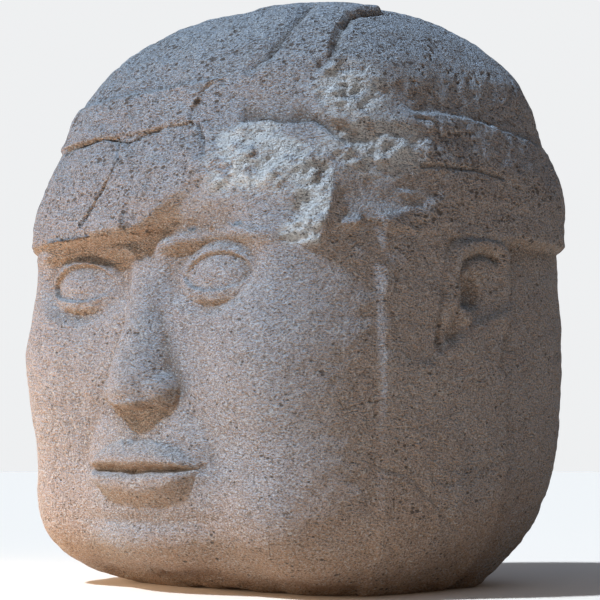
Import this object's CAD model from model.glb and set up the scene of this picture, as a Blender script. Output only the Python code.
"""The colossal stone head as it looks: worn, pitted basalt on a pale floor."""

import math

import bpy
import numpy as np
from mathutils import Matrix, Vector


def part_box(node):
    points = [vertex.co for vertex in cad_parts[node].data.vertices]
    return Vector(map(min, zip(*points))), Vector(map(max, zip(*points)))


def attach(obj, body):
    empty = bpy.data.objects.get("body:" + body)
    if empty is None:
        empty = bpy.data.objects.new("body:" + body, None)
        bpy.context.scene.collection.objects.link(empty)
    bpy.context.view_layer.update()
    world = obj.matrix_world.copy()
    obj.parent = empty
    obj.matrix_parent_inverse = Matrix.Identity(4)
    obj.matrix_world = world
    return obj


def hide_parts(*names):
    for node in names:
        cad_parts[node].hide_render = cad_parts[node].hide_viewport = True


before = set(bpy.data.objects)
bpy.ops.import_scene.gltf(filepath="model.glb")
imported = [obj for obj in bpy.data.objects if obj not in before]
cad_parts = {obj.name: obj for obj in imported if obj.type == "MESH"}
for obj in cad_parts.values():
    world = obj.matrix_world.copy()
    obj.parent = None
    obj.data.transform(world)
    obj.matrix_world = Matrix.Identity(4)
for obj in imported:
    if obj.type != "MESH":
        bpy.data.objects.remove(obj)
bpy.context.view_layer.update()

# Overall size, in metres
HEIGHT = 2.41
WIDTH = 2.08
DEPTH = 1.95
NOSE_OVER_RIM = 0.035

# Boulder
RIM_HEIGHT = 1.40
RIM_DIP = 0.012
RIM_LEDGE = 0.022
RIM_UNDERSIDE = 0.038
RIM_FADE = 0.35
FRONT_SQUARENESS = 3.60
REAR_SQUARENESS = 2.84
FRONT_BLEND = (-0.3, 0.7)
CROWN_ROUNDING = 0.15
DOME_RISE = 2.67
DOME_ROUND = 2.42
CROWN_SET_BACK = 0.047
FRONT_FOOT_HEIGHT = 0.35
REAR_FOOT_HEIGHT = 0.795
FRONT_FOOT_INSET = 0.25
REAR_FOOT_INSET = 0.30
FOOT_CURVE = 2.8
WALL_SWELL = 0.026
SWELL_HEIGHT = 0.918
SWELL_REACH = 0.30
SWELL_END = 0.15
HELMET_WAIST = 0.030
WAIST_HEIGHT = 0.764 * HEIGHT
WAIST_REACH = 0.16
BURIED = 0.08

# How deep the slow wear of the whole boulder is
WEAR = 0.006

# Straps and neck, in degrees round the boulder and in metres
STRAP_FRONT = 62.0
STRAP_FRONT_EDGE = 2.6
STRAP_REAR_EDGE = 1.2
STRAP_SWELL = 0.016
SWELL_CENTRE = 80.0
SWELL_TURN = 14.0
CHEEK_STEP = 0.017
CHEEK_FADE = (40.0, 60.0)
NECK_STEP = 0.018
NECK_HOLLOW = 0.012
NECK_FADE = (102.0, 125.0)

# Helmet lines, each through (degrees, share of the height) corners
PANEL_GROOVE = (-38, 0.745), (-26, 0.747), (-18, 0.752), (-7, 0.736), (0, 0.749), (8, 0.753), (16, 0.753)
SLANT_GROOVE = (-12, 0.748), (-8.5, 0.706), (-10, 0.681), (-13, 0.654), (-15, 0.634), (-19, 0.606)
SIDE_GROOVE = (71, 0.675), (82, 0.677), (88, 0.676), (96, 0.670)
CROWN_GROOVE = (79, 0.957), (72, 0.950), (65, 0.943), (58, 0.927), (53.7, 0.895), (51.8, 0.860), (49, 0.830)
STRAP_VALLEY = (46, 0.965), (43.5, 0.940), (40.5, 0.912), (38, 0.887), (35.5, 0.855), (32, 0.838)
BREAK_CREASE = (18, 0.752), (19, 0.740), (21, 0.720), (21.5, 0.700)

# Edges round the boulder, each as (share of the height, degrees)
STRAP_REAR = (
    (0.17, 98.3), (0.241, 98.0), (0.296, 97.0), (0.346, 95.2), (0.361, 93.6), (0.385, 94.2),
    (0.408, 95.6), (0.440, 97.6), (0.466, 98.3), (0.570, 98.5),
)
PANEL_END = (0.755, 15.8), (0.779, 15.4), (0.792, 17.3), (0.807, 18.0), (0.821, 22.0), (0.831, 30.0)
STRAP_RIGHT_SIDE = (0.800, 27), (0.835, 31.5), (0.852, 35.8), (0.887, 38.5), (0.940, 43.5), (0.970, 47)
STRAP_LEFT_SIDE = (
    (0.800, 47), (0.830, 48.5), (0.860, 51), (0.895, 53), (0.927, 57.2), (0.943, 63), (0.957, 72),
)
BREAK_EDGE = (0.727, 56), (0.740, 51), (0.755, 48), (0.779, 45.8), (0.796, 46), (0.817, 47.6), (0.840, 49)
SCAR_RIGHT_SIDE = (0.57, -3), (0.60, 3), (0.64, 14), (0.66, 19), (0.76, 21), (0.84, 22)
SCAR_LEFT_SIDE = (0.57, 54), (0.58, 56), (0.588, 61), (0.60, 67), (0.612, 72), (0.70, 74), (0.76, 76.5)
TIP_LINE = (0.540, 47.0), (0.555, 48.5), (0.590, 50.0), (0.634, 50.8), (0.680, 51.0)

# Edges along the helmet, each as (degrees, share of the height)
SIDE_BAND_TOP = (58, 0.757), (66, 0.762), (78, 0.765), (90, 0.764), (100, 0.757), (119, 0.747), (180, 0.745)
FLAKE_TOP = (-3, 0.628), (0, 0.637), (10, 0.627), (15, 0.618), (18, 0.600), (20, 0.575)
WEDGE_TOP = (30, 0.795), (40, 0.794), (43.8, 0.779), (47, 0.759), (50.5, 0.739), (54.8, 0.731), (61, 0.729)
WEDGE_FOOT = (30, 0.753), (36, 0.752), (41, 0.747), (48, 0.744), (52.5, 0.716), (56.8, 0.711), (61, 0.714)
SPALL_LIP = (65, 0.632), (67.8, 0.630), (71.5, 0.628), (75, 0.621), (73.2, 0.603), (68.8, 0.588)

# Soft starts and ends, in shares of the height or in degrees
PANEL_SHARES = (0.748, 0.753), (0.817, 0.828)
PANEL_TURN = (-75.0, -60.0)
STRAP_SHARES = (0.800, 0.850), (0.955, 0.985)
BREAK_SHARES = (0.722, 0.744), (0.820, 0.900)
SIDE_BAND_SHARES = (0.59, 0.70)
SIDE_BAND_TURN = (62.0, 74.0)
SCAR_TOP = (0.775, 0.825)
SCAR_SLOPE_TOP = (0.573, 0.664)
SCAR_SLOPE_TURN = (47.0, 56.0)
SCAR_SHALLOW_TURN = (54.0, 68.0)
FLAKE_EDGE = (-4.0, -2.8)
FLAKE_TURN = (-2.8, 18.0)
FLAKE_RUN = 0.050
WEDGE_STEP = 0.007
WEDGE_TURN = (29.0, 31.0), (46.0, 63.0)
TIP_SHARES = (0.535, 0.556), (0.612, 0.660)

# A round patch of the helmet: middle, then half sizes, in degrees and shares of the height
SCOOP = (58.0, 0.632), (9.0, 0.055)

# Helmet carving and damage, in metres, with turns and widths round the boulder in degrees
GROOVE_DEPTH = 0.019
SLANT_DEPTH = 0.018
LIP_WIDTH = 0.050
LIP_RAISE = 0.006
CROWN_GROOVE_WIDTH = 0.060
CROWN_GROOVE_DEPTH = 0.028
STRAP_VALLEY_WIDTH = 0.100
BAND_RAISE = 0.014
SIDE_BAND_RAISE = 0.018
CROWN_STRAP_RAISE = 0.020
BREAK_RAISE = 0.025
BREAK_REACH = 45.0
SCAR_DEPTH = 0.026
WEDGE_DEPTH = 0.034
SPALL_DEPTH = 0.021
SCOOP_DEPTH = 0.010
TIP_RAISE = 0.032
TIP_HALF = 10.0
TIP_WALL = 1.2
NOTCH_TURN = (55.5, 58.0), (60.6, 62.4)
NOTCH_RISE = 0.038

# Ear on the strap, as shares of its own length from its foot
EAR_LENGTH = 0.47
EAR_FOOT = (-0.27, 0.91)
EAR_RELIEF = 0.033
EAR_ROLL_RISE = 0.60
EAR_ROLL_HALF = 0.075
EAR_GROOVE_CUT = 0.90
EAR_GROOVE_HALF = 0.045
EAR_EDGE_CUT = 0.50
EAR_EDGE_WIDTH = 0.10
EAR_SHELF_CUT = 0.60
EAR_SHELF_UP = (-0.05, 0.05), (0.12, 0.50)
EAR_SHELF_ACROSS = (-0.60, 0.10), (0.90, 1.05)
EAR_EDGE = (
    (0.03, 0.12), (0.05, 0.22), (0.07, 0.40), (0.10, 0.55), (0.13, 0.70), (0.15, 0.83), (0.19, 0.92),
    (0.27, 0.97), (0.40, 0.99), (0.57, 1.01), (0.73, 1.01), (0.84, 0.98), (0.91, 0.90),
)
EAR_ROLL = (
    (0.15, 0.30), (0.19, 0.50), (0.22, 0.70), (0.27, 0.84), (0.39, 0.91), (0.57, 0.94), (0.74, 0.94),
    (0.85, 0.88), (0.88, 0.74), (0.87, 0.50), (0.82, 0.33),
)
EAR_GROOVE = (0.34, 0.45), (0.34, 0.60), (0.31, 0.69), (0.34, 0.77), (0.45, 0.83), (0.60, 0.86), (0.75, 0.82)
EAR_SHELF = (
    (-0.60, -0.17), (-0.30, -0.06), (-0.02, -0.02), (0.07, 0.06), (0.25, 0.17), (0.41, 0.27),
    (0.57, 0.31), (0.79, 0.38), (0.98, 0.45),
)

# Parts of the ear: share of its relief, then middle and half sizes
EAR_HOLLOW = -1.1, (0.45, 0.55), (0.14, 0.18)
EAR_LOBE = 0.8, (0.335, 0.335), (0.10, 0.08)
EAR_NOTCH = -0.4, (0.19, 0.24), (0.11, 0.17)

# Face lines, from the rule of halves and thirds and the rule of five eye widths
CHIN = 0.016 * HEIGHT
EYE_LINE = (CHIN + HEIGHT) / 2
BROW_LINE = 0.568 * HEIGHT
NOSE_BASE = (BROW_LINE + CHIN) / 2
MOUTH_LINE = NOSE_BASE - (NOSE_BASE - CHIN) / 3
EYE_WIDTH = WIDTH / 5
EYE_CENTRE = EYE_WIDTH
EYE_HALF = 0.47 * EYE_WIDTH
NOSE_HALF = EYE_WIDTH / 2
MOUTH_HALF = 0.16 * WIDTH

# Swellings of the face: middle, half width and half height, height of the relief
PLATE_EDGE = (0.17 * WIDTH, 0.38 * WIDTH)
CHEEK = (0.285 * WIDTH, 0.375 * HEIGHT), (0.18 * WIDTH, 0.18 * HEIGHT), 0.044
MUZZLE = (0.0, MOUTH_LINE), (0.26 * WIDTH, 0.135 * HEIGHT), 0.056
CHIN_BOSS = (0.0, 0.070 * HEIGHT), (0.20 * WIDTH, 0.088 * HEIGHT), 0.066
SOCKET = (0.145 * WIDTH, 0.073 * HEIGHT)
FOLD = ((0.096 * WIDTH, 0.332 * HEIGHT), (0.159 * WIDTH, 0.274 * HEIGHT), (0.197 * WIDTH, 0.207 * HEIGHT))

# Depths of the face's relief
FACE_SUNK = 0.075
BROW_RAISE = 0.030
BROW_ARCH = 0.035
BROW_THICKNESS = 0.034
BROW_SPAN = (0.02, 0.12), (0.60, 0.85)
FOLD_DEPTH = 0.012
FOLD_WIDTH = 0.045
CHIN_CREASE_DEPTH = 0.020
CHIN_CREASE_DROP = 0.05
CHIN_CREASE_SIZE = (0.28, 0.032)
SOCKET_DEPTH = 0.05
EYE_CORNER = (0.175, 0.02), (0.13, 0.15)
EYE_CORNER_DEPTH = 0.025
UPPER_LID = 0.185 * EYE_WIDTH
LOWER_LID = 0.135 * EYE_WIDTH
LID_EDGE = (0.0, 0.014)
LID_FADE = (0.040, 0.075)
EYEBALL_RADIUS = 0.19
EYEBALL_BACK = 0.05
LID_THICKNESS = 0.022
NOSE_FLOOR = -0.11
NOSE_BLEND = 0.03
LIP_FULLNESS = 0.046
UPPER_LIP = 0.100
LOWER_LIP = 0.125
PHILTRUM_WIDTH = 0.032
PHILTRUM_DEPTH = 0.012
PHILTRUM_TOP = (0.28, 0.30)
MOUTH_CORNER_SIZE = (0.035, 0.030)
MOUTH_CORNER_DEPTH = 0.014
NOSTRIL_DEPTH = 0.05

# Grid: finer on the side with the most carving, then thinned
GRID_COLUMNS = 1150
ROW_STEP = 0.0055
DOME_ROWS = 270
COARSER = 2.6
COARSER_TURN = (1.75, 2.35)
FINE_SIDE = 50.0
TRIANGLES = 196000

# Width of the cut lines, in metres
GROOVE_WIDTH = 0.021

# Faint lines in the side of the helmet
BAND_HOOK = (70, 0.751), (72, 0.752), (74.5, 0.749), (76.2, 0.741), (76.8, 0.725)
BAND_CRACK = (81.5, 0.735), (81.8, 0.715), (81.5, 0.690)
HELMET_LINE_WIDTH = 0.022
HELMET_LINE_DEPTH = 0.010

# Faint lines cut in the foot of each strap
STRAP_ARC = (82.8, 0.127), (83.2, 0.152), (85.5, 0.179), (89.5, 0.199), (95.2, 0.214), (98, 0.217)
STRAP_CURL = (61.5, 0.202), (66.5, 0.194), (70, 0.177), (73.2, 0.157), (77.5, 0.132), (83.5, 0.105)
STRAP_RING = (72, 0.214), (74.2, 0.189), (78.2, 0.177), (82.2, 0.187), (84.5, 0.207)
STRAP_LINE_WIDTH = 0.032
STRAP_LINE_DEPTH = 0.009

# The rough, pale break: its left edge as (share of the height, degrees), its reach over the brow
# and on the tongue, then a patch beside it and one above it, each as middle and half sizes
FLAKED_LEFT_SIDE = (0.56, 48.5), (0.59, 50), (0.634, 50.8), (0.665, 50.8), (0.70, 47), (0.735, 41)
FLAKED_START = (20.0, 27.0)
FLAKED_SHARES = (0.615, 0.650), (0.735, 0.755)
FLAKED_SOFTER_FROM = 0.66
TONGUE_START = (-9.0, -5.0)
TONGUE_SHARES = (0.538, 0.552), (0.640, 0.660)
FLAKED_BESIDE = (60.0, 0.700), (14.0, 0.05625)
FLAKED_ABOVE = (55.0, 0.790), (10.0, 0.05625)

# Worn surface: size of the lumps and their height, in metres, and the table that they come from
LATTICE = 64
LUMPS = (0.30, 0.0050), (0.12, 0.0034), (0.055, 0.0026), (0.028, 0.0018)
SCAR_GRAIN = (0.110, 0.060, 0.0095), (0.050, 0.030, 0.0068), (0.022, 0.015, 0.0034)
SCAR_STEPS = 1.7
GRAIN_SLOPE = 28.0

# Chips: size, depth and how high they reach, in metres
RIM_CHIP_SIZE = 0.07
RIM_CHIP_DEPTH = 0.013
RIM_CHIP_REACH = 0.022
FOOT_CHIP_SIZE = 0.10
FOOT_CHIP_DEPTH = 0.012
FOOT_CHIP_REACH = 0.09

# Pits that stand out: degrees, share of the height, radius and depth in metres
PITS = (
    (24, 0.816, 0.016, 0.013), (83, 0.823, 0.011, 0.008), (88, 0.828, 0.010, 0.007),
    (93, 0.838, 0.011, 0.008), (97, 0.835, 0.010, 0.008), (101, 0.814, 0.014, 0.010),
    (99, 0.792, 0.010, 0.007), (78, 0.719, 0.013, 0.009), (83, 0.728, 0.010, 0.007),
    (86, 0.749, 0.011, 0.008), (87, 0.735, 0.012, 0.008), (93, 0.753, 0.010, 0.007),
    (71, 0.687, 0.011, 0.007), (74, 0.691, 0.012, 0.008), (77, 0.696, 0.010, 0.007),
    (119, 0.852, 0.012, 0.008), (115, 0.805, 0.011, 0.007), (116, 0.794, 0.010, 0.007),
)
RANDOM_PITS = 900
PITTED_SIDE = ((60.0, 72.0), (110.0, 130.0)), ((0.60, 0.66), (0.86, 0.92))
RANDOM_PIT_RADIUS = (0.008, 0.012)
RANDOM_PIT_DEPTH = 0.6
FACE_TURN = (50, 62)

# View
VIEW_ANGLE = 45.6
VIEW_DISTANCE = 8.65
VIEW_HEIGHT = 0.565
VIEW_PITCH = 4.08
VIEW_LENS = 124.0
SENSOR_WIDTH = 36.0

# Floor and light
FLOOR_RADIUS = 40.0
FLOOR_COLOUR = (0.80, 0.67, 0.56, 1.0)
SKY_COLOUR = (0.62, 0.84, 1.20, 1.0)
HORIZON_COLOUR = (0.38, 0.30, 0.19, 1.0)
SKY_STRENGTH = 0.35
BACKDROP_COLOUR = (0.86, 0.87, 0.88, 1.0)
KEY_FROM = (-2.1, -5.5, 7.3)
KEY_COLOUR = (0.75, 0.93, 1.13)
KEY_POWER = 5.3
KEY_SOFTNESS = 4.0
LOW_FROM = (-1.70, -1.90, 0.25)
LOW_COLOUR = (1.0, 0.79, 0.57)
LOW_POWER = 74.0
LOW_SIZE = 1.1
FRONT_FROM = (2.0, -2.8, 0.35)
FRONT_COLOUR = (1.0, 0.90, 0.76)
FRONT_POWER = 25.0
FRONT_SIZE = 1.6

# Stone colours
GREY = (0.190, 0.173, 0.145, 1.0)
PALE_GREY = (0.272, 0.258, 0.230, 1.0)
COOL_GREY = (0.275, 0.315, 0.380, 1.0)
BROWN_GREY = (0.205, 0.165, 0.128, 1.0)
TAN = (0.390, 0.208, 0.106, 1.0)
FRESH_GREY = (0.600, 0.592, 0.585, 1.0)
SPECK = (0.520, 0.510, 0.490, 1.0)
DARK_GREY = (0.090, 0.073, 0.058, 1.0)
PORE = (0.068, 0.044, 0.030, 1.0)

# Grain of the stone's material: how much flatter than wide it is, then sizes and heights in metres
GRAIN_FLATNESS = 1.5
GRAIN_SIZE = 0.0100
GRAIN_HEIGHT = 0.0235
LUMP_SIZE = 0.026
LUMP_HEIGHT = 0.024
SCAR_LUMP_HEIGHT = 0.030
SMALL_PORE_GAP = 0.016
LARGE_PORE_GAP = 0.036
PORE_HEIGHT = -0.0140
SMOOTHEST = 0.76
ROUGHNESS_RANGE = 0.20


def smooth(start, end, value):
    """0 before start and 1 after end, with a soft S between them."""
    share = np.clip((value - start) / (end - start), 0.0, 1.0)
    return share * share * (3.0 - 2.0 * share)


def window(value, rise, fall):
    """1 between two soft edges, each given by where it starts and ends."""
    return smooth(*rise, value) * (1.0 - smooth(*fall, value))


def hump(value, centre, half):
    """A soft bell, 1 at the centre."""
    return np.exp(-(((value - centre) / half) ** 2))


def mound(across, up, half_width, half_height, power=1.5):
    """A round swelling, 1 in its middle and 0 past its oval edge."""
    left = 1.0 - (across / half_width) ** 2 - (up / half_height) ** 2
    return np.clip(left, 0.0, 1.0) ** power


def oval(across, up, place, size, power=1.0):
    """The same swelling over a named place."""
    return mound(across - place[0], up - place[1], *size, power)


def soft_max(first, second, blend):
    """The higher of two surfaces, with a fillet of this size where they meet."""
    share = np.clip(0.5 + 0.5 * (first - second) / blend, 0.0, 1.0)
    return second + (first - second) * share + blend * share * (1.0 - share)


def curve(knots, value):
    """A smooth curve through (place, height) knots, level outside them."""
    place, height = np.array(sorted(knots)).T
    slope = np.gradient(height, place)
    slope[[0, -1]] = 0.0
    value = np.clip(value, place[0], place[-1])
    i = np.clip(np.searchsorted(place, value) - 1, 0, len(place) - 2)
    span = place[i + 1] - place[i]
    t = (value - place[i]) / span
    start = height[i] + t * t * (3 - 2 * t) * (height[i + 1] - height[i])
    lean = t * (1 - t) * span * ((1 - t) * slope[i] - t * slope[i + 1])
    return start + lean


def distance_to_path(points, path):
    """How far each point is from a line of straight runs, in any number of dimensions."""
    nearest = np.full(points.shape[:-1], np.inf)
    for start, end in zip(path[:-1], path[1:]):
        run = end - start
        share = np.clip((points - start) @ run / (run @ run), 0.0, 1.0)
        gap = points - start - share[..., None] * run
        nearest = np.minimum(nearest, np.sqrt((gap**2).sum(axis=-1)))
    return nearest


def dome_share(z):
    """How far up the helmet's dome a height is, from 0 at the rim to 1 at the crown."""
    return np.clip((z - RIM_HEIGHT) / (HEIGHT - RIM_HEIGHT), 0.0, 1.0)


def plan_centre(z):
    """The boulder's centre line leans back towards the crown."""
    return NOSE_OVER_RIM / 2 + CROWN_SET_BACK * dome_share(z)


def girth(angle, z):
    """The share of the full plan left at a height: a domed top and a rounded foot."""
    up = dome_share(z)
    dome = np.clip(1.0 - up**DOME_RISE, 0.0, 1.0) ** (1.0 / DOME_ROUND)
    frontness = 0.5 + 0.5 * np.cos(angle)
    foot = REAR_FOOT_HEIGHT + (FRONT_FOOT_HEIGHT - REAR_FOOT_HEIGHT) * frontness
    below = np.clip((foot - z) / foot, 0.0, None)
    inset = REAR_FOOT_INSET + (FRONT_FOOT_INSET - REAR_FOOT_INSET) * frontness
    return dome * (1.0 - inset * below**FOOT_CURVE)


def block(angle, z):
    """Points of the plain boulder at an angle in radians and a height."""
    share = girth(angle, z)
    half_width = (WIDTH / 2 - WALL_SWELL - STRAP_SWELL - WEAR) * share + 1e-6
    half_depth = ((DEPTH - NOSE_OVER_RIM) / 2 - RIM_LEDGE) * share + 1e-6
    frontness = smooth(*FRONT_BLEND, np.cos(angle)) * (1.0 - dome_share(z))
    square = REAR_SQUARENESS + (FRONT_SQUARENESS - REAR_SQUARENESS) * frontness
    square = square - CROWN_ROUNDING * dome_share(z)
    across = np.abs(np.sin(angle) / half_width) ** square
    along = np.abs(np.cos(angle) / half_depth) ** square
    radius = (across + along) ** (-1.0 / square)
    swell = hump(z, SWELL_HEIGHT, SWELL_REACH) * (1.0 - smooth(RIM_HEIGHT - SWELL_END, RIM_HEIGHT, z))
    radius = radius + WALL_SWELL * swell
    radius = radius - HELMET_WAIST * hump(z, WAIST_HEIGHT, WAIST_REACH) * smooth(0.0, 0.3, share)
    x = radius * np.sin(angle)
    y = plan_centre(z) - radius * np.cos(angle)
    return np.stack(np.broadcast_arrays(x, y, z), axis=-1)


def on_stone(*corners):
    """A line laid over the boulder through (degrees, share of height) corners."""
    degrees, height = np.array(corners, float).T
    steps = np.linspace(0, len(corners) - 1, 6 * (len(corners) - 1) + 1)
    angle = np.radians(np.interp(steps, range(len(corners)), degrees))
    return block(angle, np.interp(steps, range(len(corners)), height) * HEIGHT)


def groove(points, path, width, depth):
    """A V-shaped cut along a path."""
    return -depth * np.clip(1.0 - distance_to_path(points, path) / (width / 2), 0.0, 1.0)


def rim_line(angle):
    """Height of the helmet's lower edge, which dips at the sides and is broken in one place."""
    notch = NOTCH_RISE * window(np.degrees(angle), *NOTCH_TURN)
    return RIM_HEIGHT + RIM_DIP * np.cos(2 * angle) + notch


def swelling(ax, z, form):
    """One of the face's named swellings."""
    (across, up), (half_width, half_height), height = form
    return height * mound(ax - across, z - up, half_width, half_height, 2.0)


def face_plate(ax, z):
    """The sunken middle of the face, with brow, cheeks, muzzle and chin."""
    plate = -FACE_SUNK * (1.0 - smooth(*PLATE_EDGE, ax))
    for form in (CHEEK, MUZZLE, CHIN_BOSS):
        plate = plate + swelling(ax, z, form)
    crease = hump(z, (CHIN_BOSS[0][1] + MOUTH_LINE) / 2 - CHIN_CREASE_DROP, CHIN_CREASE_SIZE[1])
    plate = plate - CHIN_CREASE_DEPTH * crease * hump(ax, 0.0, CHIN_CREASE_SIZE[0])
    arch = BROW_LINE - BROW_ARCH * ((ax - EYE_CENTRE) / EYE_CENTRE) ** 2
    brow = hump(z, arch, BROW_THICKNESS) * window(ax, *BROW_SPAN)
    fold = hump(distance_to_path(np.stack([ax, z], axis=-1), np.array(FOLD)), 0.0, FOLD_WIDTH)
    return plate + BROW_RAISE * brow - FOLD_DEPTH * fold


def eye_outline():
    """The almond edge of the lids, inner corner to outer corner and back."""
    across = np.linspace(-1.0, 1.0, 17)
    bow = (1.0 - np.abs(across) ** 2.3) ** 0.8
    upper = EYE_LINE + UPPER_LID * bow
    lower = EYE_LINE - LOWER_LID * bow
    return EYE_CENTRE + EYE_HALF * across, upper, lower


def with_eyes(face, ax, z):
    """Sinks the sockets, then sets in each eyeball and its two lids."""
    across, upper, lower = eye_outline()
    dx, dz = ax - EYE_CENTRE, z - EYE_LINE
    socket = mound(dx + 0.02, dz - 0.01, *SOCKET, 1.2)
    corner = oval(ax, dz, *EYE_CORNER, 1.5)
    face = face - SOCKET_DEPTH * socket - EYE_CORNER_DEPTH * corner
    ball = -EYEBALL_BACK + 0.14 * dx - (0.35 * dx**2 + dz**2) / (2 * EYEBALL_RADIUS)
    inside = (ax > across[0]) & (ax < across[-1])
    inside &= (z < np.interp(ax, across, upper)) & (z > np.interp(ax, across, lower))
    edge = np.concatenate([np.stack([across, upper], -1), np.stack([across, lower], -1)[-2::-1]])
    gap = distance_to_path(np.stack([ax, z], axis=-1), edge)
    lid = smooth(*LID_EDGE, gap) - 0.9 * smooth(*LID_FADE, gap)
    lidded = soft_max(face, ball + LID_THICKNESS * lid, 0.010)
    return np.where(inside, ball, lidded)


def nose(ax, z):
    """Bridge, tip and wings over a common floor."""
    top, base = EYE_LINE + 0.035 * HEIGHT, NOSE_BASE
    tip = NOSE_OVER_RIM + RIM_LEDGE - NOSE_BLEND / 2
    span = top - base
    height = curve(
        [(base, NOSE_FLOOR), (base + 0.03 * span, tip - 0.045), (base + 0.10 * span, tip - 0.006),
         (base + 0.18 * span, tip), (base + 0.40 * span, tip - 0.035),
         (base + 0.72 * span, tip - 0.085), (top, tip - 0.125)], z)
    half = NOSE_HALF * curve([(base, 0.80), (base + 0.25 * span, 0.84), (base + 0.70 * span, 0.56),
                              (top, 0.62)], z)
    ridge = NOSE_FLOOR + (height - NOSE_FLOOR) * np.clip(1 - (ax / half) ** 2.4, 0, 1) ** 0.75
    ball = mound(ax, z - base - 0.17 * span, 0.60 * NOSE_HALF, 0.165 * span, 0.5)
    wing = mound(ax - 0.62 * NOSE_HALF, z - base - 0.135 * span, 0.40 * NOSE_HALF, 0.135 * span, 0.5)
    shape = soft_max(ridge, NOSE_FLOOR + (tip - NOSE_FLOOR) * ball, 0.7 * NOSE_BLEND)
    shape = soft_max(shape, NOSE_FLOOR + 0.74 * (tip - NOSE_FLOOR) * wing, NOSE_BLEND)
    nostril = mound(ax - 0.40 * NOSE_HALF, z - base - 0.02 * span, 0.20 * NOSE_HALF, 0.045 * span, 1.0)
    shape = shape - NOSTRIL_DEPTH * nostril
    return np.where((z > base - 0.02) & (z < top), shape, NOSE_FLOOR)


def lips(ax, z):
    """Two closed lips with a plain level mouth line."""
    bow = np.clip(1.0 - (ax / MOUTH_HALF) ** 2.2, 0.0, 1.0)
    top = MOUTH_LINE + UPPER_LIP * bow**0.75 - 0.012 * hump(ax, 0.0, 0.035)
    line = MOUTH_LINE - 0.007 * hump(ax, 0.0, 0.06)
    bottom = MOUTH_LINE - LOWER_LIP * bow**0.75
    above = (z - line) / (top - line + 1e-3)
    under = (line - z) / (line - bottom + 1e-3)
    upper = curve([(0, -0.35), (0.22, 0.72), (0.48, 1.0), (0.9, 0.55), (1.0, 0.42), (1.18, 0)], above)
    lower = curve([(0, -0.35), (0.2, 0.75), (0.5, 1.0), (0.85, 0.6), (1.0, 0.3), (1.22, 0)], under)
    full = np.where(z > line, upper, lower) * smooth(0.0, 0.55, bow)
    philtrum = hump(ax, 0.0, PHILTRUM_WIDTH) * smooth(top, top + 0.02, z)
    philtrum = philtrum * (1 - smooth(*PHILTRUM_TOP, z / HEIGHT))
    corner = mound(ax - 1.03 * MOUTH_HALF, z - MOUTH_LINE, *MOUTH_CORNER_SIZE)
    return LIP_FULLNESS * full - PHILTRUM_DEPTH * philtrum - MOUTH_CORNER_DEPTH * corner


def face_relief(x, z):
    """The whole face, the same on both sides."""
    ax = np.abs(x)
    face = face_plate(ax, z)
    face = with_eyes(face, ax, z)
    face = soft_max(face, nose(ax, z), 0.035)
    return face + lips(ax, z)


def ear_relief(y, z):
    """A long outer roll, the hollow inside it, a small lobe and a slanting shelf below."""
    place = np.stack([y - EAR_FOOT[0], z - EAR_FOOT[1]], axis=-1) / EAR_LENGTH
    across, up = place[..., 0], place[..., 1]
    roll, inner = (distance_to_path(place, np.array(path)) for path in (EAR_ROLL, EAR_GROOVE))
    relief = EAR_ROLL_RISE * hump(roll, 0, EAR_ROLL_HALF)
    relief = relief - EAR_GROOVE_CUT * hump(inner, 0, EAR_GROOVE_HALF)
    relief = relief + groove(place, np.array(EAR_EDGE), EAR_EDGE_WIDTH, EAR_EDGE_CUT)
    for height, middle, size in (EAR_HOLLOW, EAR_LOBE, EAR_NOTCH):
        relief = relief + height * oval(across, up, middle, size)
    over = up - curve(EAR_SHELF, across)
    shelf = window(over, *EAR_SHELF_UP) * window(across, *EAR_SHELF_ACROSS)
    return EAR_RELIEF * (relief - EAR_SHELF_CUT * shelf)


def side_relief(x, y, z, angle):
    """The strap over each ear, a step above the cheek in front and the neck behind."""
    turn = np.degrees(np.abs(angle))
    before = 1.0 - smooth(STRAP_FRONT - STRAP_FRONT_EDGE, STRAP_FRONT, turn)
    rear = curve(STRAP_REAR, z / HEIGHT)
    after = smooth(rear, rear + STRAP_REAR_EDGE, turn)
    neck = NECK_STEP + NECK_HOLLOW * (1.0 - smooth(*NECK_FADE, turn))
    step = -CHEEK_STEP * before * (1 + smooth(*CHEEK_FADE, turn)) / 2 - neck * after
    swell = STRAP_SWELL * hump(turn, SWELL_CENTRE, SWELL_TURN)
    on_strap = (1.0 - before) * (1.0 - after) * (z < RIM_HEIGHT)
    return step + swell + ear_relief(y, z) * on_strap


def scar_mask(turn, share):
    """The broken area over the left brow: 1 well inside it."""
    right, left = curve(SCAR_RIGHT_SIDE, share), curve(SCAR_LEFT_SIDE, share)
    inside = smooth(right - 2.0, right + 7.0, turn) * (1.0 - smooth(left - 5.0, left, turn))
    return inside * (1.0 - smooth(*SCAR_TOP, share))


def flake(turn, share):
    """The sharp-edged flake lost over the inner brow, deepest along its right edge."""
    top = curve(FLAKE_TOP, turn)
    deep = smooth(*FLAKE_EDGE, turn) * (1 - 0.5 * smooth(*FLAKE_TURN, turn))
    down = np.clip((top - share) / FLAKE_RUN, 0.0, 1.0)
    return deep * (1 - smooth(top - 0.008, top, share)) * (0.3 + 0.7 * down)


def wedge(turn, share):
    """The overhung wedge under the crown's thick edge, deepest along its foot."""
    top, foot = curve(WEDGE_TOP, turn), curve(WEDGE_FOOT, turn)
    down = np.clip((top - share) / (top - foot), 0.0, 1.0)
    return down * smooth(foot - WEDGE_STEP, foot, share) * window(turn, *WEDGE_TURN)


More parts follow.
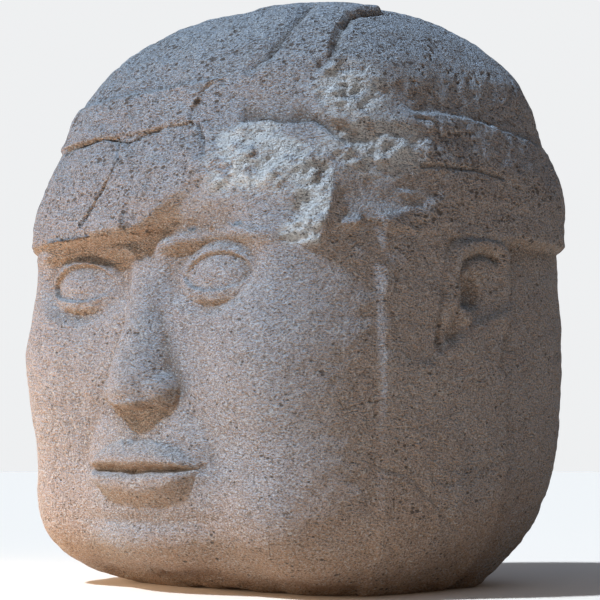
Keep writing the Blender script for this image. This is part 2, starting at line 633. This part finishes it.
def broken_depth(turn, share):
    """Depth of the broken area: a slope over the brow, a wedge, a scoop and a flake."""
    low = (1 - smooth(*SCAR_SLOPE_TOP, share)) * (1 - smooth(*SCAR_SLOPE_TURN, turn))
    shallow = 1 - 0.6 * smooth(*SCAR_SHALLOW_TURN, turn)
    slope = SCAR_DEPTH * scar_mask(turn, share) * (0.6 + low) * shallow
    depth = np.maximum(slope, SPALL_DEPTH * flake(turn, share))
    return depth + WEDGE_DEPTH * wedge(turn, share) + SCOOP_DEPTH * oval(turn, share, *SCOOP)


def tip_ridge(turn, share):
    """A tongue of stone that hangs below the rim, steep on its left side."""
    tip = curve(TIP_LINE, share)
    wide = TIP_HALF * (0.2 + 0.8 * smooth(TIP_LINE[0][0], 0.60, share))
    half = np.where(turn < tip, wide, TIP_WALL)
    return TIP_RAISE * hump(turn, tip, half) * window(share, *TIP_SHARES)


def crown_relief(turn, share):
    """The strap over the crown and the thicker stone left of the break."""
    right, left = curve(STRAP_RIGHT_SIDE, share), curve(STRAP_LEFT_SIDE, share)
    strap = smooth(right - 0.8, right + 0.8, turn) * (1 - smooth(left, left + 6.0, turn))
    edge = curve(BREAK_EDGE, share)
    thick = smooth(edge - 0.8, edge + 1.2, turn) * (1 - smooth(edge + 4.0, edge + BREAK_REACH, turn))
    strap, thick = strap * window(share, *STRAP_SHARES), thick * window(share, *BREAK_SHARES)
    return CROWN_STRAP_RAISE * strap + BREAK_RAISE * thick


def band_relief(turn, share):
    """The panel over the right brow and the band round the sides and the back."""
    end = curve(PANEL_END, share)
    panel = window(share, *PANEL_SHARES) * window(turn, PANEL_TURN, (end - 0.5, end + 0.5))
    away = np.abs(turn)
    top = curve(SIDE_BAND_TOP, away)
    side = smooth(*SIDE_BAND_TURN, away) * window(share, SIDE_BAND_SHARES, (top - 0.007, top + 0.004))
    return BAND_RAISE * panel + SIDE_BAND_RAISE * side


def helmet_relief(points, turn, share):
    """Bands, grooves, the crown strap and the broken area of the helmet."""
    lines = (
        (PANEL_GROOVE, GROOVE_WIDTH, GROOVE_DEPTH),
        (SLANT_GROOVE, GROOVE_WIDTH, SLANT_DEPTH),
        (SIDE_GROOVE, GROOVE_WIDTH, SLANT_DEPTH),
        (BREAK_CREASE, GROOVE_WIDTH, SLANT_DEPTH),
        (CROWN_GROOVE, CROWN_GROOVE_WIDTH, CROWN_GROOVE_DEPTH),
        (STRAP_VALLEY, STRAP_VALLEY_WIDTH, CROWN_GROOVE_DEPTH),
        (SPALL_LIP, LIP_WIDTH, -LIP_RAISE),
    )
    cuts = sum(groove(points, on_stone(*line), width, depth) for line, width, depth in lines)
    return cuts + band_relief(turn, share) + crown_relief(turn, share) - broken_depth(turn, share)


def weathering(points):
    """The slow unevenness of a worn boulder."""
    x, y, z = np.moveaxis(points, -1, 0)
    slow = np.sin(3.1 * x + 1.3) * np.sin(2.7 * z + 0.4 + 1.1 * y)
    quick = np.sin(7.3 * y + 2.1 * x) * np.sin(6.1 * z + 1.9) * np.sin(5.2 * x + 0.7)
    return WEAR * (0.8 * slow + 0.7 * quick)


def relief_of(points, angle):
    """The depth of the carving at each point of the boulder."""
    x, y, z = np.moveaxis(points, -1, 0)
    turn, share = np.degrees(angle), z / HEIGHT
    rim = rim_line(angle)
    broken = scar_mask(turn, np.maximum(share, RIM_HEIGHT / HEIGHT))
    on_helmet_side = smooth(rim - RIM_UNDERSIDE, rim + 0.10 * broken, z)
    ledge = smooth(rim - RIM_UNDERSIDE, rim, z) * (1 - 0.75 * broken)
    ledge = RIM_LEDGE * ledge * (1 - np.clip((z - rim) / RIM_FADE, 0, 1))
    front = (np.abs(turn) < STRAP_FRONT) & (y < 0)
    below = side_relief(x, y, z, angle) + np.where(front, face_relief(x, z), 0.0)
    above = helmet_relief(points, turn, share)
    relief = ledge + below * (1 - on_helmet_side) + above * on_helmet_side
    return relief + tip_ridge(turn, share) + weathering(points)


def normals_of(points):
    """Outward normals of a ring grid that closes on itself along its rows."""
    around = np.roll(points, -1, axis=1) - np.roll(points, 1, axis=1)
    upward = np.gradient(points, axis=0)
    normal = np.cross(around, upward)
    return normal / np.linalg.norm(normal, axis=-1, keepdims=True)


def lattice_noise(points, size, seed):
    """Smooth random values from -1 to 1 whose lumps are about this size."""
    table = np.random.default_rng(seed).uniform(-1.0, 1.0, (LATTICE, LATTICE, LATTICE))
    place = points / np.asarray(size)
    cell = np.floor(place)
    part = place - cell
    part = part * part * (3.0 - 2.0 * part)
    cell = cell.astype(int)
    value = np.zeros(points.shape[:-1])
    for corner in np.ndindex(2, 2, 2):
        share = np.where(corner, part, 1.0 - part).prod(axis=-1)
        i, j, k = np.moveaxis((cell + corner) % LATTICE, -1, 0)
        value = value + share * table[i, j, k]
    return 1.6 * value


def blurred(field, reach):
    """The mean of a grid field over its neighbours, wrapping round each ring."""
    for step in [2**i for i in range(reach)]:
        field = (np.roll(field, step, 1) + np.roll(field, -step, 1) + 2 * field) / 4
        up = np.concatenate([field[step:], np.repeat(field[-1:], step, 0)])
        down = np.concatenate([np.repeat(field[:1], step, 0), field[:-step]])
        field = (up + down + 2 * field) / 4
    return field


def grid_angles():
    """Angles of the grid's columns, closer together on the finer side."""
    turn = np.linspace(-np.pi, np.pi, 2000)
    away = np.abs((turn - math.radians(FINE_SIDE) + np.pi) % (2 * np.pi) - np.pi)
    spacing = 1.0 + (COARSER - 1.0) * smooth(*COARSER_TURN, away)
    place = np.concatenate([[0.0], np.cumsum(1.0 / spacing[1:])])
    columns = GRID_COLUMNS
    return np.interp(np.linspace(0.0, place[-1], columns, endpoint=False), place, turn)


def grid_heights():
    """Heights of the rings: even steps up the wall, then round the dome."""
    coarser = 1
    wall = np.arange(-BURIED, RIM_HEIGHT, ROW_STEP * coarser)
    turn = np.linspace(0.0, np.pi / 2, DOME_ROWS // coarser, endpoint=False)
    return np.concatenate([wall, RIM_HEIGHT + (HEIGHT - RIM_HEIGHT) * np.sin(turn) ** (2.0 / DOME_RISE)])


def lumps(points):
    """The worn, uneven surface."""
    height = np.zeros(points.shape[:-1])
    for number, (size, raise_) in enumerate(LUMPS):
        height = height + raise_ * lattice_noise(points, size, number)
    return height


def flaked_area(angle, z):
    """Where the broken stone is rough and pale: over the brow, on the tongue and beside it."""
    turn, share = np.degrees(angle), z / HEIGHT
    left = curve(FLAKED_LEFT_SIDE, share)
    softer = 40 * np.clip(share - FLAKED_SOFTER_FROM, 0, 0.1)
    inside = 1 - smooth(left - 0.5 - softer, left + 0.5, turn)
    main = smooth(*FLAKED_START, turn) * inside * window(share, *FLAKED_SHARES)
    tongue = smooth(left + TONGUE_START[0], left + TONGUE_START[1], turn) * inside
    tongue = tongue * window(share, *TONGUE_SHARES)
    beside = 0.8 * oval(turn, share, *FLAKED_BESIDE, 0.8)
    above = oval(turn, share, *FLAKED_ABOVE, 0.8)
    return np.maximum(np.maximum(main, tongue), np.maximum(beside, above))


def scar_grain(angle, z):
    """Flaked steps that rise to the left side across the broken area."""
    arc, lean = angle * DEPTH / 2, math.radians(GRAIN_SLOPE)
    along = arc * math.cos(lean) + z * math.sin(lean)
    across = z * math.cos(lean) - arc * math.sin(lean)
    flat = np.stack([along, across, np.zeros_like(along)], axis=-1)
    height = np.zeros(along.shape)
    for number, (length, width, raise_) in enumerate(SCAR_GRAIN):
        level = SCAR_STEPS * lattice_noise(flat, (length, width, 1.0), 20 + number)
        part = level - np.floor(level)
        height = height + raise_ / SCAR_STEPS * (np.floor(level) + smooth(0.55, 1.0, part))
    return height


def faint_lines(points):
    """Worn curls cut in the foot of each strap, and two lines in the helmet's side."""
    x, y, z = np.moveaxis(points, -1, 0)
    side = np.stack([np.abs(x), y, z], axis=-1)
    curls, lines = (STRAP_ARC, STRAP_CURL, STRAP_RING), (BAND_HOOK, BAND_CRACK)
    cuts = sum(groove(side, on_stone(*line), STRAP_LINE_WIDTH, STRAP_LINE_DEPTH) for line in curls)
    for line in lines:
        cuts = cuts + groove(points, on_stone(*line), HELMET_LINE_WIDTH, HELMET_LINE_DEPTH)
    return cuts


def chips(points, angle):
    """Small breaks along the helmet's edge and round the foot."""
    z = points[..., 2]
    edge = hump(z, rim_line(angle) + 0.004, RIM_CHIP_REACH)
    rim_chip = np.clip(lattice_noise(points, RIM_CHIP_SIZE, 31) - 0.15, 0.0, 1.0) * edge
    foot = 1.0 - smooth(0.0, FOOT_CHIP_REACH, z)
    foot_chip = np.clip(lattice_noise(points, FOOT_CHIP_SIZE, 32) - 0.05, 0.0, 1.0) * foot
    return -RIM_CHIP_DEPTH * rim_chip - FOOT_CHIP_DEPTH * foot_chip


def pit_window(points, row, column, size):
    """The rows and columns of the grid that a pit can reach."""
    rows, columns = points.shape[:2]
    high = np.linalg.norm(points[min(row + 1, rows - 1), column] - points[row - 1, column]) / 2
    wide = np.linalg.norm(points[row, (column + 1) % columns] - points[row, column])
    up, side = int(size / high) + 1, min(int(size / wide) + 1, columns // 3)
    return np.ix_(np.arange(max(row - up, 0), min(row + up + 1, rows)),
                  np.arange(column - side, column + side + 1) % columns)


def pit_field(points, pits):
    """Depth of round pits over the grid, each given by row, column, radius and depth."""
    field = np.zeros(points.shape[:2])
    for row, column, size, depth in pits:
        window = pit_window(points, row, column, size)
        gap = np.linalg.norm(points[window] - points[row, column], axis=-1) / size
        field[window] = np.maximum(field[window], depth * np.clip(1.0 - gap**2, 0.0, 1.0))
    return field


def named_pits(angles, heights):
    """The pits that stand out, each at the nearest point of the grid."""
    for turn, share, size, depth in PITS:
        row = int(np.abs(heights - share * HEIGHT).argmin())
        yield row, int(np.abs(angles - math.radians(turn)).argmin()), size, depth


def random_pits(points, chance):
    """Pits strewn by chance, as thick on a large cell of the grid as on a small one."""
    random = np.random.default_rng(7)
    across = np.linalg.norm(np.roll(points, -1, axis=1) - points, axis=-1)
    weight = chance * across * np.linalg.norm(np.gradient(points, axis=0), axis=-1)
    weight[[0, 1, -2, -1]] = 0.0
    picks = random.choice(weight.size, RANDOM_PITS, p=(weight / weight.sum()).ravel())
    for pick, size in zip(picks, random.uniform(*RANDOM_PIT_RADIUS, RANDOM_PITS)):
        row, column = divmod(int(pick), points.shape[1])
        yield row, column, size, RANDOM_PIT_DEPTH * size


def stone_surface():
    """Points of the carved and worn head, and what its material needs to know at each."""
    angles, heights = grid_angles(), grid_heights()
    plain = block(angles[None, :], heights[:, None])
    angle = np.broadcast_to(angles[None, :], plain.shape[:2])
    z = plain[..., 2]
    carved = plain + normals_of(plain) * relief_of(plain, angle)[..., None]
    scar = flaked_area(angle, z)
    helmet = smooth(RIM_HEIGHT - 0.02, RIM_HEIGHT + 0.01, z)
    face = (1 - helmet) * (1 - smooth(*FACE_TURN, np.abs(np.degrees(angle))))
    smoother = np.maximum(scar, 0.8 * scar_mask(np.degrees(angle), z / HEIGHT) * helmet)
    pitted = np.clip(0.55 + 0.45 * helmet - 0.80 * smoother - 0.10 * face, 0.05, 1.0)
    side = window(np.degrees(angle), *PITTED_SIDE[0]) * window(z / HEIGHT, *PITTED_SIDE[1])
    chance = pitted * (1 - 0.9 * face) * (1 - scar) * (0.6 + 2.4 * side)
    pits = pit_field(carved, [*named_pits(angles, heights), *random_pits(carved, chance)])
    rough = lumps(plain) * (1 - 0.45 * face) + scar * scar_grain(angle, z)
    rough = rough + faint_lines(plain) + chips(plain, angle) - pits
    points = carved + normals_of(carved) * rough[..., None]
    relief = ((points - plain) * normals_of(plain)).sum(axis=-1)
    hollow = blurred(relief, 5) - relief
    points[..., 2] = np.maximum(points[..., 2], 0.0)
    return points, {"scar": scar, "hollow": hollow, "pitted": pitted}


def closed_mesh(points, fields):
    """A closed mesh over the rings, with a point at each end and its fields kept."""
    rows, columns = points.shape[:2]
    index = np.arange(rows * columns).reshape(rows, columns)
    after = np.roll(index, -1, axis=1)
    quads = np.stack([index[:-1], after[:-1], after[1:], index[1:]], axis=-1).reshape(-1)
    foot, crown = np.full(columns, rows * columns), np.full(columns, rows * columns + 1)
    low = np.stack([foot, after[0], index[0]], axis=-1).reshape(-1)
    high = np.stack([crown, index[-1], after[-1]], axis=-1).reshape(-1)
    ends = np.stack([points[0].mean(axis=0), points[-1].mean(axis=0)])
    corners = np.concatenate([quads, low, high])
    starts = np.concatenate([np.arange(0, quads.size, 4), quads.size + np.arange(0, 6 * columns, 3)])
    mesh = bpy.data.meshes.new("carved_stone")
    mesh.vertices.add(rows * columns + 2)
    mesh.vertices.foreach_set("co", np.concatenate([points.reshape(-1, 3), ends]).ravel())
    mesh.loops.add(corners.size)
    mesh.loops.foreach_set("vertex_index", corners)
    mesh.polygons.add(starts.size)
    mesh.polygons.foreach_set("loop_start", starts)
    mesh.update(calc_edges=True)
    for name, field in fields.items():
        layer = mesh.attributes.new(name, "FLOAT", "POINT")
        values = np.concatenate([field.ravel(), [field[0].mean(), field[-1].mean()]])
        layer.data.foreach_set("value", values.astype(np.float32))
    return mesh


def thinned(mesh):
    """The same surface in fewer triangles, as a new object."""
    rough = bpy.data.objects.new("rough_stone", mesh)
    bpy.context.collection.objects.link(rough)
    thin = rough.modifiers.new("thin", "DECIMATE")
    thin.ratio = min(1.0, TRIANGLES / (len(mesh.loops) - 2 * len(mesh.polygons)))
    shape = rough.evaluated_get(bpy.context.evaluated_depsgraph_get())
    fine = bpy.data.meshes.new_from_object(shape)
    bpy.data.objects.remove(rough)
    stone = bpy.data.objects.new("carved_stone", fine)
    bpy.context.collection.objects.link(stone)
    return stone


def fit_in_box(mesh, low, high):
    """Draws the points in so that none stands outside the solid's box."""
    places = np.empty(3 * len(mesh.vertices))
    mesh.vertices.foreach_get("co", places)
    places = places.reshape(-1, 3)
    for axis in range(3):
        first, last = places[:, axis].min(), places[:, axis].max()
        share = (places[:, axis] - first) / (last - first)
        first, last = max(first, low[axis]), min(last, high[axis])
        places[:, axis] = first + share * (last - first)
    mesh.vertices.foreach_set("co", places.ravel())
    mesh.update()


class Nodes:
    """Short ways to add the nodes of one material or of the world."""

    def __init__(self, owner, coordinates="Object"):
        self.tree = owner.node_tree
        self.place = self.tree.nodes.new("ShaderNodeTexCoord").outputs[coordinates]
        self.height = self.upward(self.place)

    def flatten(self, share):
        """Makes every pattern that follows this much flatter than it is wide."""
        node = self.tree.nodes.new("ShaderNodeVectorMath")
        node.operation = "MULTIPLY"
        self.put(node.inputs[0], self.place)
        node.inputs[1].default_value = (1.0, 1.0, share)
        self.place = node.outputs["Vector"]

    def put(self, socket, value):
        """Links a socket to another node, or sets its constant."""
        if isinstance(value, bpy.types.NodeSocket):
            self.tree.links.new(value, socket)
        else:
            socket.default_value = value

    def noise(self, size, detail=2.0, roughness=0.5):
        """Soft noise from 0 to 1 with lumps of this size in metres."""
        node = self.tree.nodes.new("ShaderNodeTexNoise")
        self.put(node.inputs["Vector"], self.place)
        node.inputs["Scale"].default_value = 1.0 / size
        node.inputs["Detail"].default_value = detail
        node.inputs["Roughness"].default_value = roughness
        return node.outputs["Fac"]

    def cells(self, size):
        """Distance to the nearest of many points this far apart, in those steps."""
        node = self.tree.nodes.new("ShaderNodeTexVoronoi")
        self.put(node.inputs["Vector"], self.place)
        node.inputs["Scale"].default_value = 1.0 / size
        return node.outputs["Distance"]

    def field(self, name):
        """What the mesh says at each point, by the name of its attribute."""
        node = self.tree.nodes.new("ShaderNodeAttribute")
        node.attribute_name = name
        return node.outputs["Fac"]

    def math(self, operation, *values):
        node = self.tree.nodes.new("ShaderNodeMath")
        node.operation = operation
        for socket, value in zip(node.inputs, values):
            self.put(socket, value)
        return node.outputs["Value"]

    def part(self, value, share):
        """This share of a value."""
        return self.math("MULTIPLY", value, share)

    def upward(self, vector):
        """The Z part of a vector."""
        node = self.tree.nodes.new("ShaderNodeSeparateXYZ")
        self.put(node.inputs[0], vector)
        return node.outputs["Z"]

    def step(self, value, start, end):
        """0 where the value is at start and 1 where it is at end."""
        node = self.tree.nodes.new("ShaderNodeMapRange")
        node.interpolation_type = "SMOOTHSTEP"
        self.put(node.inputs["Value"], value)
        self.put(node.inputs["From Min"], start)
        self.put(node.inputs["From Max"], end)
        return node.outputs["Result"]

    def blend(self, share, first, second):
        """The first colour at share 0 and the second at share 1."""
        node = self.tree.nodes.new("ShaderNodeMix")
        node.data_type = "RGBA"
        factor, color_a, color_b = node.inputs[0], node.inputs[6], node.inputs[7]
        self.put(factor, share)
        self.put(color_a, first)
        self.put(color_b, second)
        return node.outputs[2]

    def bump(self, height):
        """The surface's normal once this height in metres is added."""
        node = self.tree.nodes.new("ShaderNodeBump")
        node.inputs["Distance"].default_value = 1.0
        self.put(node.inputs["Height"], height)
        return node.outputs["Normal"]


def pores_of(n):
    """Small pores all over and larger ones in groups, 1 in the middle of each."""
    pitted = n.math("MULTIPLY_ADD", n.field("pitted"), 0.6, 0.4)
    radius = n.math("MULTIPLY", n.math("MULTIPLY_ADD", n.noise(0.06), 0.90, -0.10), pitted)
    small = n.step(n.cells(SMALL_PORE_GAP), radius, n.math("SUBTRACT", radius, 0.16))
    radius = n.math("MULTIPLY", n.math("MULTIPLY_ADD", n.noise(0.10), 0.95, -0.25), pitted)
    large = n.step(n.cells(LARGE_PORE_GAP), radius, n.math("SUBTRACT", radius, 0.10))
    return n.math("MAXIMUM", n.part(small, 0.7), large)


def stone_colour(n, pores, grain, lump, facing):
    """Brownish basalt, cooler where it looks up and browner where it is sheltered or low."""
    colour = n.blend(n.step(n.noise(0.34, 4.0, 0.6), 0.36, 0.64), GREY, PALE_GREY)
    colour = n.blend(n.part(n.step(n.noise(0.16, 5.0, 0.65), 0.50, 0.68), 0.5), colour, BROWN_GREY)
    colour = n.blend(n.part(n.step(facing, 0.05, 0.50), 0.95), colour, COOL_GREY)
    colour = n.blend(n.part(n.step(lump, 0.52, 0.36), 0.4), colour, DARK_GREY)
    colour = n.blend(n.part(n.step(n.field("hollow"), 0.005, 0.018), 0.6), colour, DARK_GREY)
    colour = n.blend(n.part(n.step(facing, -0.18, -0.55), 0.92), colour, TAN)
    low = n.part(n.step(n.height, 0.75, 0.05), n.step(n.noise(0.5, 3.0), 0.35, 0.6))
    colour = n.blend(n.part(low, 0.5), colour, TAN)
    fresh = n.math("MULTIPLY", n.field("scar"), n.step(n.noise(0.07, 3.0, 0.6), 0.30, 0.55))
    colour = n.blend(n.part(fresh, 0.85), colour, FRESH_GREY)
    colour = n.blend(n.part(n.step(grain, 0.51, 0.67), 0.68), colour, SPECK)
    colour = n.blend(n.part(n.step(grain, 0.47, 0.34), 0.86), colour, DARK_GREY)
    return n.blend(n.part(pores, 0.85), colour, PORE)


def stone_material():
    """Rough, dry, porous basalt, all from noise in the stone's own coordinates."""
    material = bpy.data.materials.new("worn_basalt")
    material.use_nodes = True
    n = Nodes(material)
    shader = material.node_tree.nodes["Principled BSDF"]
    n.flatten(GRAIN_FLATNESS)
    pores = pores_of(n)
    grain = n.noise(GRAIN_SIZE, 2.0, 0.90)
    lump = n.noise(LUMP_SIZE, 2.0, 0.65)
    height = n.part(lump, n.math("MULTIPLY_ADD", n.field("scar"), SCAR_LUMP_HEIGHT, LUMP_HEIGHT))
    height = n.math("MULTIPLY_ADD", grain, GRAIN_HEIGHT, height)
    height = n.math("MULTIPLY_ADD", pores, PORE_HEIGHT, height)
    rough_normal = n.bump(height)
    n.put(shader.inputs["Base Color"], stone_colour(n, pores, grain, lump, n.upward(rough_normal)))
    n.put(shader.inputs["Roughness"], n.math("MULTIPLY_ADD", grain, ROUGHNESS_RANGE, SMOOTHEST))
    n.put(shader.inputs["Normal"], rough_normal)
    return material


def make_stone():
    """The carved stone, in place of the plain solid."""
    stone = thinned(closed_mesh(*stone_surface()))
    fit_in_box(stone.data, *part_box("stone_head"))
    stone.data.shade_smooth()
    stone.data.materials.clear()
    stone.data.materials.append(stone_material())
    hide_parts("stone_head")
    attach(stone, "root")


def plain_material(name, colour):
    material = bpy.data.materials.new(name)
    material.use_nodes = True
    shader = material.node_tree.nodes["Principled BSDF"]
    shader.inputs["Base Color"].default_value = colour
    shader.inputs["Roughness"].default_value = 0.8
    return material


def make_floor():
    bpy.ops.mesh.primitive_circle_add(vertices=96, radius=FLOOR_RADIUS, fill_type="NGON")
    floor = bpy.context.object
    floor.name = "pale_floor"
    floor.data.materials.append(plain_material("pale_floor", FLOOR_COLOUR))


def make_lamp(name, kind, place, colour, power):
    """A light that shines from a place towards the middle of the stone's foot."""
    light = bpy.data.lights.new(name, kind)
    light.energy = power
    light.color = colour
    lamp = bpy.data.objects.new(name, light)
    lamp.location = place
    lamp.rotation_euler = (-Vector(place)).to_track_quat("-Z", "Y").to_euler()
    bpy.context.collection.objects.link(lamp)
    return light


def make_surround():
    """A soft dome of light, cool overhead and warmer at the sides, before a pale backdrop."""
    world = bpy.data.worlds.new("soft_surround")
    world.use_nodes = True
    n = Nodes(world, "Generated")
    dome = world.node_tree.nodes["Background"]
    n.put(dome.inputs["Color"], n.blend(n.step(n.height, 0.2, 0.9), HORIZON_COLOUR, SKY_COLOUR))
    dome.inputs["Strength"].default_value = SKY_STRENGTH
    backdrop = n.tree.nodes.new("ShaderNodeBackground")
    backdrop.inputs["Color"].default_value = BACKDROP_COLOUR
    choose = n.tree.nodes.new("ShaderNodeMixShader")
    n.put(choose.inputs[0], n.tree.nodes.new("ShaderNodeLightPath").outputs["Is Camera Ray"])
    n.put(choose.inputs[1], dome.outputs[0])
    n.put(choose.inputs[2], backdrop.outputs[0])
    n.put(n.tree.nodes["World Output"].inputs["Surface"], choose.outputs[0])
    bpy.context.scene.world = world


def make_lights():
    """A soft key from high on the left, and two warm fills from low in front."""
    make_surround()
    make_lamp("key", "SUN", KEY_FROM, KEY_COLOUR, KEY_POWER).angle = math.radians(KEY_SOFTNESS)
    make_lamp("low_fill", "AREA", LOW_FROM, LOW_COLOUR, LOW_POWER).size = LOW_SIZE
    make_lamp("front_fill", "AREA", FRONT_FROM, FRONT_COLOUR, FRONT_POWER).size = FRONT_SIZE
    bpy.context.scene.view_settings.view_transform = "Standard"


def make_camera():
    """A camera that looks from the photograph's place."""
    data = bpy.data.cameras.new("photo_view")
    data.sensor_width = SENSOR_WIDTH
    data.lens = VIEW_LENS
    camera = bpy.data.objects.new("photo_view", data)
    turn = math.radians(VIEW_ANGLE)
    camera.location = (VIEW_DISTANCE * math.sin(turn), -VIEW_DISTANCE * math.cos(turn), VIEW_HEIGHT)
    camera.rotation_euler = (math.radians(90.0 + VIEW_PITCH), 0.0, turn)
    bpy.context.collection.objects.link(camera)
    bpy.context.scene.camera = camera


make_stone()
make_floor()
make_lights()
make_camera()
bpy.context.view_layer.update()
